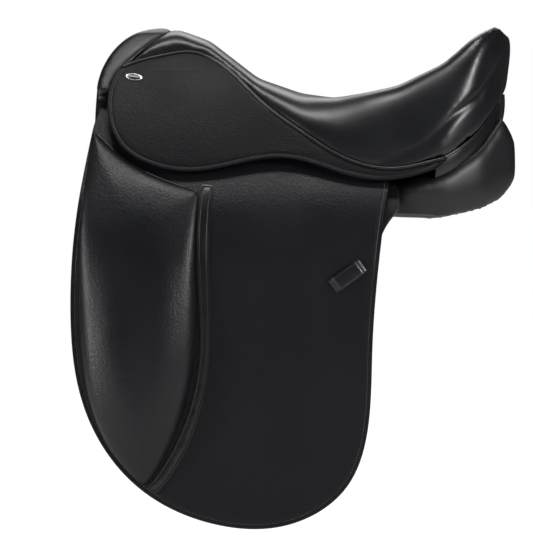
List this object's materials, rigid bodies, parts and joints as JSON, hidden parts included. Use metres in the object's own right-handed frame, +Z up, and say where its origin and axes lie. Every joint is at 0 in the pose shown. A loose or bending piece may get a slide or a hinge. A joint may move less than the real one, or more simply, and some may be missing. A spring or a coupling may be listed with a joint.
{
  "type": "english saddle",
  "caption": "Black dressage saddle with a deep seat, long straight flaps that lift, thigh blocks, panels and a wooden tree with stirrup bars.",
  "frame": {"origin": "on the middle plane, under the deepest point of the seat, at the height where the panels bear on the horse", "axes": "+Z up, +X to the cantle (rear), -X to the pommel (front), +Y to the off (right) side"},
  "size_m": [0.548, 0.4334, 0.62],
  "materials": {
    "leather": "fine grained black leather, satin",
    "smooth_leather": "smooth black calf leather, satin",
    "lining_leather": "soft black lining leather",
    "wood": "laminated beech, lacquered",
    "steel": "blued tempered steel",
    "bar_steel": "forged steel, brushed",
    "webbing": "woven polyester webbing",
    "foam": "latex seat foam",
    "chrome": "polished rim, dark centre",
    "brass": "screws"
  },
  "bodies": {
    "saddle": {"badge_left": "chrome", "badge_right": "chrome", "bar_rivets": "bar_steel", "cantle_facing": "smooth_leather", "cantle_plate": "steel", "catch_pin_left": "bar_steel", "catch_pin_right": "bar_steel", "flap_head_left": "leather", "flap_head_right": "leather", "flap_screws": "brass", "girth_webs_left": "webbing", "girth_webs_right": "webbing", "gullet_plate": "steel", "head_plate": "steel", "head_roll": "smooth_leather", "panel_left": "smooth_leather", "panel_right": "smooth_leather", "point_pocket_left": "lining_leather", "point_pocket_right": "lining_leather", "seat_cover": "smooth_leather", "seat_foam": "foam", "seat_webbing": "webbing", "seat_welt_left": "leather", "seat_welt_right": "leather", "skirt_band_left": "leather", "skirt_band_right": "leather", "stirrup_bar_left": "bar_steel", "stirrup_bar_right": "bar_steel", "sweat_flap_left": "lining_leather", "sweat_flap_right": "lining_leather", "tree": "wood", "tree_springs": "steel"},
    "flap_left": {"flap_left": "leather", "thigh_block_left": "smooth_leather", "block_binding_left": "leather", "keeper_left": "leather"},
    "skirt_left": {"skirt_left": "leather"},
    "catch_left": {"stirrup_catch_left": "bar_steel"},
    "billet_front_left": {"billet_front_left": "leather"},
    "billet_rear_left": {"billet_rear_left": "leather"},
    "flap_right": {"flap_right": "leather", "thigh_block_right": "smooth_leather", "block_binding_right": "leather", "keeper_right": "leather"},
    "skirt_right": {"skirt_right": "leather"},
    "catch_right": {"stirrup_catch_right": "bar_steel"},
    "billet_front_right": {"billet_front_right": "leather"},
    "billet_rear_right": {"billet_rear_right": "leather"}
  },
  "joints": [
    {"name": "flap_lift_left", "type": "hinge", "parent": "saddle", "child": "flap_left", "pos_m": [-0.306, -0.09871, 0.11362], "axis": [-0.9543, 0.1432, 0.2622], "range_deg": [0, 75]},
    {"name": "skirt_lift_left", "type": "hinge", "parent": "flap_left", "child": "skirt_left", "pos_m": [-0.306, -0.09871, 0.11362], "axis": [-0.9543, 0.1432, 0.2622], "range_deg": [0, 75]},
    {"name": "catch_turn_left", "type": "hinge", "parent": "saddle", "child": "catch_left", "pos_m": [-0.151, -0.08915, 0.10569], "axis": [0, -0.829, 0.5592], "range_deg": [0, 90]},
    {"name": "billet_front_swing_left", "type": "hinge", "parent": "saddle", "child": "billet_front_left", "pos_m": [-0.097, -0.1707, -0.113], "axis": [0, 1, 0], "range_deg": [-4.5, 4.5]},
    {"name": "billet_rear_swing_left", "type": "hinge", "parent": "saddle", "child": "billet_rear_left", "pos_m": [-0.022, -0.1707, -0.113], "axis": [0, 1, 0], "range_deg": [-4.5, 4.5]},
    {"name": "flap_lift_right", "type": "hinge", "parent": "saddle", "child": "flap_right", "pos_m": [-0.306, 0.09871, 0.11362], "axis": [0.9543, 0.1432, -0.2622], "range_deg": [0, 75]},
    {"name": "skirt_lift_right", "type": "hinge", "parent": "flap_right", "child": "skirt_right", "pos_m": [-0.306, 0.09871, 0.11362], "axis": [0.9543, 0.1432, -0.2622], "range_deg": [0, 75]},
    {"name": "catch_turn_right", "type": "hinge", "parent": "saddle", "child": "catch_right", "pos_m": [-0.151, 0.08915, 0.10569], "axis": [0, -0.829, -0.5592], "range_deg": [0, 90]},
    {"name": "billet_front_swing_right", "type": "hinge", "parent": "saddle", "child": "billet_front_right", "pos_m": [-0.097, 0.1707, -0.113], "axis": [0, 1, 0], "range_deg": [-4.5, 4.5]},
    {"name": "billet_rear_swing_right", "type": "hinge", "parent": "saddle", "child": "billet_rear_right", "pos_m": [-0.022, 0.1707, -0.113], "axis": [0, 1, 0], "range_deg": [-4.5, 4.5]}
  ]
}
